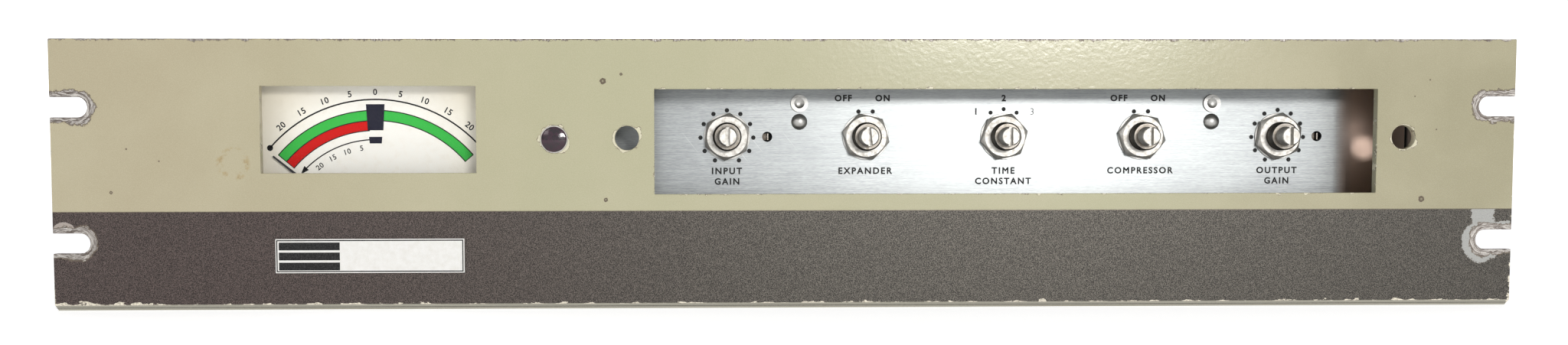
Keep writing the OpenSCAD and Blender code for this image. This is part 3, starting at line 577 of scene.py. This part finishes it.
def clear(name, alpha):
    """Clear moulding, seen through almost unchanged, with faint dust."""
    g = Graph(name)
    dust = g.ramp(g.noise(1.8, 5.0, 0.7), 0.55, 0.8, 0.06, 0.26)
    g.set(
        base_color=(0.03, 0.03, 0.03, 1.0),
        roughness=dust,
        alpha=alpha,
        normal=g.bump(g.noise(0.1), 0.05, 0.0002),
    )
    return g.material


def ink(name, colour, wear=0.08):
    """Printing ink, slightly uneven."""
    g = Graph(name)
    patches = g.noise(2.2, 4.0, 0.7)
    lighter = tuple(c + (0.6 - c) * wear for c in colour)
    tone = g.mix(g.ramp(patches, 0.4, 0.8), colour, lighter)
    g.set(base_color=tone, roughness=0.6, specular_ior_level=0.25)
    return g.material


NICKEL = srgb(146, 142, 136)
# Where a metal finish below darkens its corners, that darkening is painted shade
FINISHES = {
    "panel_paint": lambda: PanelPaint().build(),
    "zinc_hardware": lambda: metal("zinc_hardware", srgb(190, 190, 184), srgb(120, 116, 104), (0.3, 0.5)),
    "badge_face": lambda: plain(
        "badge_face", srgb(232, 231, 228), srgb(224, 222, 217), (0.2, 0.3), bump=0.04
    ),
    "meter_moulding": lambda: plain("meter_moulding", srgb(34, 33, 32), srgb(24, 23, 22), (0.4, 0.6)),
    "clear_lens": lambda: clear("clear_lens", 0.03),
    "dial_paint": dial_paint,
    "brass": lambda: metal("brass", srgb(206, 176, 104), srgb(120, 92, 48)),
    "magnet_steel": lambda: metal("magnet_steel", srgb(98, 98, 100), srgb(54, 52, 50), (0.4, 0.6)),
    "copper_wire": lambda: plain(
        "copper_wire", srgb(150, 84, 38), srgb(110, 54, 24), (0.2, 0.4), bump=0.4, coat_weight=0.5
    ),
    "pointer_paint": lambda: plain("pointer_paint", srgb(26, 26, 34), srgb(40, 40, 46), (0.3, 0.4)),
    "jewel_glass": jewel,
    "nickel_plate": lambda: metal(
        "nickel_plate", srgb(208, 206, 201), srgb(158, 149, 136), (0.42, 0.6), 0.9, dirt=0.6, corner_shade=0.25
    ),
    "dull_plate": lambda: metal(
        "dull_plate", srgb(186, 185, 182), srgb(134, 130, 122), (0.28, 0.42), 0.9,
        dirt=0.4, corner_shade=0.85, reach=0.001
    ),
    "neck_plate": lambda: metal(
        "neck_plate", NICKEL, srgb(112, 100, 84), (0.24, 0.44), 0.9, dirt=0.7, corner_shade=0.97, reach=0.0018
    ),
    "bulb_glass": lambda: clear("bulb_glass", 0.5),
    "brushed_plate": brushed_plate,
    "phenolic_sheet": lambda: plain("phenolic_sheet", srgb(140, 96, 56), srgb(112, 72, 40), fine=2.0),
    "cup_steel": lambda: metal("cup_steel", srgb(186, 187, 186), srgb(130, 126, 116), (0.25, 0.42)),
    "chassis_zinc": lambda: metal(
        "chassis_zinc", srgb(158, 161, 160), srgb(112, 113, 108), (0.42, 0.6), 0.06, (0.05, 1, 1), 0.2,
        corner_shade=0.6, reach=0.0014
    ),
    "board_laminate": lambda: plain("board_laminate", srgb(150, 132, 66), srgb(124, 106, 50), fine=1.5),
    "resistor_body": lambda: plain("resistor_body", srgb(160, 118, 78), srgb(128, 88, 52), (0.2, 0.35)),
    "capacitor_sleeve": lambda: plain("capacitor_sleeve", srgb(40, 66, 128), srgb(30, 48, 96), (0.15, 0.3)),
    "film_resin": lambda: plain("film_resin", srgb(196, 138, 42), srgb(168, 106, 30), (0.12, 0.25)),
    "can_metal": lambda: metal("can_metal", srgb(198, 198, 196), srgb(140, 138, 132), (0.2, 0.36)),
    "lamination_iron": lambda: plain(
        "lamination_iron", srgb(60, 60, 64), srgb(44, 42, 42), (0.35, 0.6), bump=0.3
    ),
    "black_phenolic": lambda: plain("black_phenolic", srgb(32, 29, 27), srgb(46, 40, 34), (0.25, 0.42)),
    "fuse_glass": lambda: plain("fuse_glass", srgb(206, 210, 206), srgb(188, 190, 186), (0.1, 0.2)),
}


# ---- Dressing the CAD nodes ----

# Nodes whose plating looks different from the rest of their slot, with more painted shade in their corners and
# seams
SPECIAL = {
    "plate_rivets": "dull_plate", "plate_eyelets": "dull_plate", "control_washers": "dull_plate",
    "control_bushings": "neck_plate",
}

# Rounding of each node's sharp edges, in millimetres. The rest stay as they are.
EDGE = {
    "front_panel": 0.18, "name_badge": 0.12, "control_nuts": 0.12,
    "control_washers": 0.1, "chassis_tray": 0.25, "meter_case": 0.5,
    "terminal_strip": 0.25, "circuit_board": 0.15, "power_core": 0.3, "power_coil": 1.2,
    "output_transformer": 0.8, "input_transformer": 1.5, "film_capacitors": 1.0, "corner_brackets": 0.2,
}


WELD = 0.002


def dress(node, material):
    """Gives a CAD node its finish and, without touching its mesh, rounded edges."""
    obj = nodes[node]
    obj.data.materials.clear()
    obj.data.materials.append(material)
    weld = obj.modifiers.new("weld", "WELD")
    weld.merge_threshold = WELD * MM
    if node in EDGE:
        bevel = obj.modifiers.new("soft_edges", "BEVEL")
        bevel.width = EDGE[node] * MM
        bevel.segments = 2
        bevel.limit_method = "ANGLE"
        bevel.angle_limit = math.radians(40)


materials = {}
for part in record["subparts"]:
    finish = SPECIAL.get(part["node"], part["material_slot"])
    if finish not in materials:
        materials[finish] = FINISHES[finish]()
    dress(part["node"], materials[finish])


# ---- Printed marks: thin closed pieces of ink on a surface that faces the viewer ----


class Print:
    """A mesh of ink shapes lying on the plane at depth y, drawn in metres."""

    def __init__(self, y):
        self.mesh = bmesh.new()
        self.y = y - INK_LIFT

    def prism(self, outline):
        """A flat shape from its outline, given as (x, z) pairs in metres."""
        front = [self.mesh.verts.new((px, self.y - INK, pz)) for px, pz in outline]
        back = [self.mesh.verts.new((px, self.y, pz)) for px, pz in outline]
        self.mesh.faces.new(front)
        self.mesh.faces.new(back[::-1])
        for i in range(len(outline)):
            j = (i + 1) % len(outline)
            self.mesh.faces.new((front[j], front[i], back[i], back[j]))

    def disc(self, x, z, radius, sides=28):
        turns = [2 * math.pi * i / sides for i in range(sides)]
        self.prism([(x + radius * math.cos(t), z + radius * math.sin(t)) for t in turns])

    def box(self, x0, x1, z0, z1):
        self.prism([(x0, z0), (x1, z0), (x1, z1), (x0, z1)])

    def arc(self, centre, inner, outer, start, end, step=3.0):
        """A ring's piece. Angles are in degrees from straight up, clockwise."""
        count = max(2, math.ceil(abs(end - start) / step))
        turns = [math.radians(start + (end - start) * i / count) for i in range(count + 1)]
        ring = [(centre[0] + outer * math.sin(t), centre[1] + outer * math.cos(t)) for t in turns]
        ring += [
            (centre[0] + inner * math.sin(t), centre[1] + inner * math.cos(t)) for t in reversed(turns)
        ]
        self.prism(ring)

    def words(self, text, x, z, height, spacing=1.15, turn=0.0, weight=0.0):
        """Capitals of the given height, centred on (x, z) and turned clockwise."""
        curve = bpy.data.curves.new("lettering", "FONT")
        curve.body = text
        curve.space_character = spacing
        curve.extrude = 0.02
        curve.bevel_depth = weight
        curve.bevel_resolution = 1
        curve.resolution_u = 4
        holder = bpy.data.objects.new("lettering", curve)
        bpy.context.scene.collection.objects.link(holder)
        shape = bpy.data.meshes.new_from_object(
            holder.evaluated_get(bpy.context.evaluated_depsgraph_get())
        )
        bpy.data.objects.remove(holder)
        bpy.data.curves.remove(curve)
        low, high = [[pick(v.co[i] for v in shape.vertices) for i in range(3)] for pick in (min, max)]
        scale = height / (high[1] - low[1])
        cos, sin = math.cos(math.radians(turn)), math.sin(math.radians(turn))
        for v in shape.vertices:
            across = (v.co[0] - (low[0] + high[0]) / 2) * scale
            up = (v.co[1] - (low[1] + high[1]) / 2) * scale
            depth = (v.co[2] - low[2]) / (high[2] - low[2])
            v.co = (x + across * cos + up * sin, self.y - INK * depth, z - across * sin + up * cos)
        self.mesh.from_mesh(shape)
        bpy.data.meshes.remove(shape)

    def finish(self, name, material, body="root"):
        bmesh.ops.recalc_face_normals(self.mesh, faces=self.mesh.faces)
        data = bpy.data.meshes.new(name)
        self.mesh.to_mesh(data)
        self.mesh.free()
        obj = bpy.data.objects.new(name, data)
        bpy.context.scene.collection.objects.link(obj)
        data.materials.append(material)
        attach(obj, body)


BLACK_INK = ink("black_ink", srgb(16, 15, 15))
FADED_INK = ink("faded_ink", srgb(112, 112, 112), wear=0.4)

# Control plate: each control's words below it, and the words for its two positions above it
PLATE_MARKS = [
    (["INPUT", "GAIN"], None), (["EXPANDER"], ["OFF", "ON"]), (["TIME", "CONSTANT"], None),
    (["COMPRESSOR"], ["OFF", "ON"]), (["OUTPUT", "GAIN"], None),
]
TIME_CONTROL = 2
CAPITALS = 2.3 * MM
# How much letters are thickened, in the font's own units
LABEL_WEIGHT, CHOICE_WEIGHT = 0.034, 0.042
# Where marks stand from a shaft's middle: across, then up
LINE_TOPS = (-11.7 * MM, -15.3 * MM)
CHOICES_UP = 13.2 * MM
CHOICES_ACROSS = (-7.7 * MM, 5.8 * MM)
SIDE_CHOICES = {"1": -9.6 * MM, "3": 9.8 * MM}
SIDE_CHOICES_UP = 8.6 * MM
TWO_DOTS = ((-2.45 * MM, 8.6 * MM), (2.45 * MM, 8.6 * MM))
THREE_DOTS = ((-4.5 * MM, 8.2 * MM), (0.0, 9.4 * MM), (4.5 * MM, 8.2 * MM))
DOT_R = 0.75 * MM
SMALL_DOT_R = DOT_R * 0.95
DIAL_DOTS = 11
DOT_RING = 9.05 * MM
DOT_STEP = 30.6


def plate_print():
    """Dots and labels round the controls."""
    marks = Print(PLATE_FACE)
    for i, (lines, choices) in enumerate(PLATE_MARKS):
        at = CONTROLS[i]
        for line, below in zip(lines, LINE_TOPS):
            marks.words(line, at.x, at.z + below, CAPITALS, 1.3, weight=LABEL_WEIGHT)
        if choices:
            for word, across in zip(choices, CHOICES_ACROSS):
                marks.words(word, at.x + across, at.z + CHOICES_UP, CAPITALS, 1.25, weight=CHOICE_WEIGHT)
            for across, up in TWO_DOTS:
                marks.disc(at.x + across, at.z + up, DOT_R)
        elif i == TIME_CONTROL:
            for across, up in THREE_DOTS:
                marks.disc(at.x + across, at.z + up, SMALL_DOT_R)
            marks.words("2", at.x, at.z + CHOICES_UP, CAPITALS, weight=CHOICE_WEIGHT)
            left = at.x + SIDE_CHOICES["1"]
            marks.words("1", left, at.z + SIDE_CHOICES_UP, CAPITALS, weight=LABEL_WEIGHT)
        else:
            for k in range(DIAL_DOTS):
                turn = math.radians(DOT_STEP * (k - (DIAL_DOTS - 1) / 2))
                marks.disc(at.x + DOT_RING * math.sin(turn), at.z + DOT_RING * math.cos(turn), DOT_R)
    marks.finish("plate_print", BLACK_INK)
    worn = Print(PLATE_FACE)
    middle = CONTROLS[TIME_CONTROL]
    worn.words("3", middle.x + SIDE_CHOICES["3"], middle.z + SIDE_CHOICES_UP, CAPITALS)
    worn.finish("plate_print_worn", FADED_INK)


plate_print()

# Meter dial
GREEN_INK = ink("green_ink", srgb(60, 200, 78), wear=0.04)
RED_INK = ink("red_ink", srgb(222, 8, 2), wear=0.01)
NAVY_INK = ink("navy_ink", srgb(22, 22, 44), wear=0.04)
# Radii in millimetres and turns in degrees from straight up, all about the pointer's pivot
SCALE_END = 49.4
RED_END = -3.0
ARROW_TURN = 2.0 - SCALE_END
GREEN_BAND = (39.3, 42.6)
RED_BAND = (36.0, 39.1)
BAND_LINES = [
    (46.05, 46.55, -SCALE_END, SCALE_END), (42.5, 42.85, -SCALE_END, SCALE_END),
    (39.05, 39.4, -SCALE_END, SCALE_END), (35.75, 36.1, -SCALE_END, RED_END),
    (32.7, 33.1, ARROW_TURN, 0.0),
]
# The lines that close the bands' ends: at which turn, and from which radius
END_LINES = [(-SCALE_END, 35.8), (SCALE_END, 39.1)]
END_LINE_TOP = 42.8
END_LINE_HALF = 0.2
OUTER_ARC = 46.3
INNER_ARC = 32.9
BALL_R = 1.0
ARROW_HALF, ARROW_BASE, ARROW_TIP = 1.0, 1.6, 1.4
# The index's two blocks: radius and half width at the outer end, then at the inner end
INDEX_BLOCKS = [((44.7, 3.1), (36.0, 2.6)), ((33.8, 2.2), (31.6, 2.0))]
OUTER_NUMBERS = (48.8, [(turn, str(abs(turn) // 2)) for turn in range(-40, 41, 10)], 2.1, 0.02)
INNER_NUMBERS = (30.4, [(-38, "20"), (-28, "15"), (-18, "10"), (-9, "5")], 1.8, 0.016)


def dial_print():
    """Coloured bands, arcs with a ball and an arrow, the index and its numbers."""
    centre = (PIVOT.x, PIVOT.z)

    def spot(radius, turn, outward=0.0, across=0.0):
        """A place on an arc, or one moved from it outward and across, in millimetres."""
        t = math.radians(turn)
        x, z = centre[0] + radius * MM * math.sin(t), centre[1] + radius * MM * math.cos(t)
        return x + (outward * math.sin(t) + across * math.cos(t)) * MM, z + (
            outward * math.cos(t) - across * math.sin(t)
        ) * MM

    def arrow(shapes, radius, turn, way):
        """An arrowhead on an arc, pointing clockwise if way is 1 and the other way if it is -1."""
        shapes.prism([
            spot(radius, turn, ARROW_HALF * way, -ARROW_BASE * way),
            spot(radius, turn, 0, ARROW_TIP * way),
            spot(radius, turn, -ARROW_HALF * way, -ARROW_BASE * way),
        ])

    for name, band, end, colour in (
        ("dial_green_band", GREEN_BAND, SCALE_END, GREEN_INK), ("dial_red_band", RED_BAND, RED_END, RED_INK),
    ):
        shapes = Print(DIAL_LOW.y)
        shapes.arc(centre, band[0] * MM, band[1] * MM, -SCALE_END, end)
        shapes.finish(name, colour)

    # Each coat of ink lies on the one before
    black = Print(DIAL_LOW.y - INK - INK_LIFT)
    for inner, outer, start, end in BAND_LINES:
        black.arc(centre, inner * MM, outer * MM, start, end)
    for turn, inner in END_LINES:
        black.arc(centre, inner * MM, END_LINE_TOP * MM, turn - END_LINE_HALF, turn + END_LINE_HALF)
    black.disc(*spot(OUTER_ARC, -SCALE_END), BALL_R * MM)
    arrow(black, OUTER_ARC, SCALE_END, 1)
    arrow(black, INNER_ARC, ARROW_TURN, -1)
    black.finish("dial_lines", BLACK_INK)

    index = Print(DIAL_LOW.y - 2 * (INK + INK_LIFT))
    for (top, top_half), (low, low_half) in INDEX_BLOCKS:
        index.prism([
            spot(top, 0, 0, -top_half), spot(top, 0, 0, top_half),
            spot(low, 0, 0, low_half), spot(low, 0, 0, -low_half),
        ])
    index.finish("dial_index", NAVY_INK)

    numbers = Print(DIAL_LOW.y)
    for radius, marks, height, weight in (OUTER_NUMBERS, INNER_NUMBERS):
        for turn, text in marks:
            x, z = spot(radius, turn)
            numbers.words(text, x, z, height * MM, 1.1, turn, weight)
    numbers.finish("dial_numbers", BLACK_INK)


dial_print()


# Name badge
BADGE_INSET = 0.35 * MM
BADGE_LINE = 0.35 * MM
BARS = 3
BAR_HIGH = 2.55 * MM
BAR_SPACE = 0.75 * MM
BARS_DOWN = 0.45 * MM
BAR_FROM, BAR_TO = 0.8 * MM, 20.6 * MM


def badge_print():
    """Blank name badge: a thin border and three bars."""
    marks = Print(BADGE_LOW.y)
    x0, x1 = BADGE_LOW.x + BADGE_INSET, BADGE_HIGH.x - BADGE_INSET
    z0, z1 = BADGE_LOW.z + BADGE_INSET, BADGE_HIGH.z - BADGE_INSET
    marks.box(x0, x1, z0, z0 + BADGE_LINE)
    marks.box(x0, x1, z1 - BADGE_LINE, z1)
    marks.box(x0, x0 + BADGE_LINE, z0 + BADGE_LINE, z1 - BADGE_LINE)
    marks.box(x1 - BADGE_LINE, x1, z0 + BADGE_LINE, z1 - BADGE_LINE)
    for k in range(BARS):
        high = z1 - BADGE_LINE - BARS_DOWN - k * (BAR_HIGH + BAR_SPACE)
        marks.box(x0 + BAR_FROM, x0 + BAR_TO, high - BAR_HIGH, high)
    marks.finish("badge_bars", BLACK_INK)


badge_print()

# ---- Floor, lights and camera ----

# The sweep's wall stands well behind the object, so that cameras looking from behind have room
SWEEP_HALF_WIDTH = 8.0
SWEEP_FRONT, SWEEP_BACK = -8.0, 2.8
SWEEP_BEND, SWEEP_STEPS = 1.0, 12
SWEEP_TOP = 4.0
WHITE = (1.0, 1.0, 1.0)
# Each light's place, size, watts, aim and tint
LIGHTS = {
    "key": ((0.43, -1.5, 0.3), (0.38, 0.2), 10.5, (0.05, 0, 0), (1.0, 0.99, 0.97)),
    "front": ((0.0, -2.2, 0.5), (3.0, 2.0), 6, (0, 0, 0), (0.98, 0.99, 1.0)),
    "left": ((-0.7, -1.0, 0.5), (0.5, 0.5), 1.8, (-0.1, 0, 0), (1.0, 0.98, 0.96)),
    "top": ((0.2, -0.2, 1.7), (1.8, 1.2), 5, (0, 0.2, 0), WHITE),
    "back": ((0.0, 2.4, 1.6), (2.4, 0.8), 34, (0, 3.8, 0.1), WHITE),
}
ROOM_TINT = (0.93, 0.96, 1.0, 1.0)
ROOM_LIGHT, ROOM_REFLECTION = 0.14, 0.66
CAMERA_AT = (-0.0345, -0.5067, 0.0112)
PITCH, YAW, ROLL = (math.radians(turn) for turn in (-3.43, -1.58, 0.07))
LENS, SENSOR = 35.1, 36.0
SHIFT_X, SHIFT_Y = 0.0349, 0.0379
CLIP_START = 0.02


def sweep():
    """Pale floor that bends up into a wall behind the object."""
    g = Graph("sweep")
    tone = g.mix(g.ramp(g.noise(0.002), 0.3, 0.7), (0.86, 0.86, 0.86), (0.88, 0.88, 0.88))
    g.set(base_color=tone, roughness=0.9, emission_color=(*WHITE, 1.0), emission_strength=0.6)
    floor_z = cad_box[0].z
    profile = [(SWEEP_FRONT, 0.0), (SWEEP_BACK, 0.0)]
    for k in range(1, SWEEP_STEPS + 1):
        turn = math.radians(90 * k / SWEEP_STEPS)
        profile.append((SWEEP_BACK + SWEEP_BEND * math.sin(turn), SWEEP_BEND * (1 - math.cos(turn))))
    profile.append((SWEEP_BACK + SWEEP_BEND, SWEEP_TOP))
    mesh = bmesh.new()
    left, right = [
        [mesh.verts.new((x, y, floor_z + z)) for y, z in profile]
        for x in (-SWEEP_HALF_WIDTH, SWEEP_HALF_WIDTH)
    ]
    for i in range(len(profile) - 1):
        mesh.faces.new((left[i], right[i], right[i + 1], left[i + 1]))
    data = bpy.data.meshes.new("sweep")
    mesh.to_mesh(data)
    mesh.free()
    for face in data.polygons:
        face.use_smooth = True
    data.materials.append(g.material)
    obj = bpy.data.objects.new("sweep", data)
    bpy.context.scene.collection.objects.link(obj)


def lights():
    """A key light high on the right and soft fills."""
    for name, (at, size, watts, aim, tint) in LIGHTS.items():
        light = bpy.data.lights.new(name, "AREA")
        light.shape = "RECTANGLE"
        light.size, light.size_y = size
        light.energy = watts
        light.color = tint
        lamp = bpy.data.objects.new(name, light)
        lamp.location = at
        lamp.rotation_euler = (Vector(aim) - Vector(at)).to_track_quat("-Z", "Y").to_euler()
        bpy.context.scene.collection.objects.link(lamp)


def room():
    """Even light from all round. Reflections see a brighter room than the one that lights the shadows."""
    world = bpy.data.worlds.new("soft_room")
    world.use_nodes = True
    tree = world.node_tree
    background = tree.nodes["Background"]
    background.inputs[0].default_value = ROOM_TINT
    ray = tree.nodes.new("ShaderNodeLightPath")
    strength = tree.nodes.new("ShaderNodeMapRange")
    strength.inputs["To Min"].default_value = ROOM_LIGHT
    strength.inputs["To Max"].default_value = ROOM_REFLECTION
    tree.links.new(ray.outputs["Is Glossy Ray"], strength.inputs["Value"])
    tree.links.new(strength.outputs[0], background.inputs[1])
    bpy.context.scene.world = world


def camera():
    """The engineer's view: half a metre in front of the panel, tilted a little down and to the right."""
    data = bpy.data.cameras.new("camera")
    data.sensor_width = SENSOR
    data.lens = LENS
    data.shift_x, data.shift_y = SHIFT_X, SHIFT_Y
    data.clip_start = CLIP_START
    eye = bpy.data.objects.new("camera", data)
    aim = Matrix.Rotation(YAW, 3, "Z") @ Matrix.Rotation(PITCH, 3, "X") @ Matrix.Rotation(ROLL, 3, "Y")
    eye.rotation_euler = (aim @ Matrix.Rotation(math.radians(90), 3, "X")).to_euler()
    eye.location = CAMERA_AT
    bpy.context.scene.collection.objects.link(eye)
    bpy.context.scene.camera = eye


sweep()
lights()
room()
camera()
bpy.context.scene.view_settings.view_transform = "Standard"
